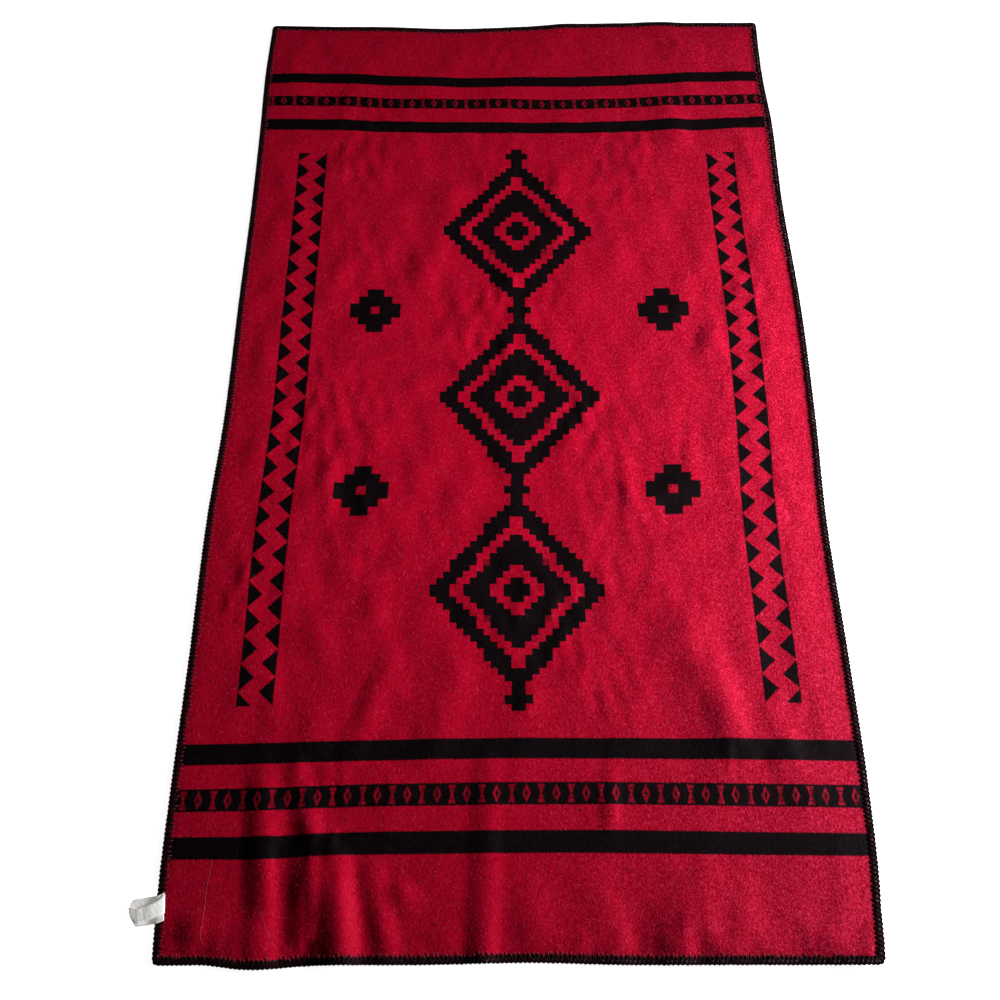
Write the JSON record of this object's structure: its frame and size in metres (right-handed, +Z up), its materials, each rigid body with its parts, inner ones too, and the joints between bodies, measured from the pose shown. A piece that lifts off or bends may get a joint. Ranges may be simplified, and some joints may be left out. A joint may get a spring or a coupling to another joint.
{
  "type": "wool blanket",
  "caption": "Flat rectangular wool blanket, red with black cross stripes and a black stitched yarn edge, lying open with its storage creases.",
  "frame": {"origin": "on the floor, under the middle of the whole part's box, the label included", "axes": "+X across the blanket, +Y along its length, away from the end that has the label beside it, +Z up"},
  "size_m": [1.0635, 1.7827, 0.0122],
  "materials": {
    "red_wool": "napped, matte",
    "black_yarn": "wool yarn, matte",
    "white_satin": "satin"
  },
  "bodies": {
    "root": {"wool_cloth": "red_wool", "yarn_edging": "black_yarn", "care_label": "white_satin"}
  },
  "joints": []
}
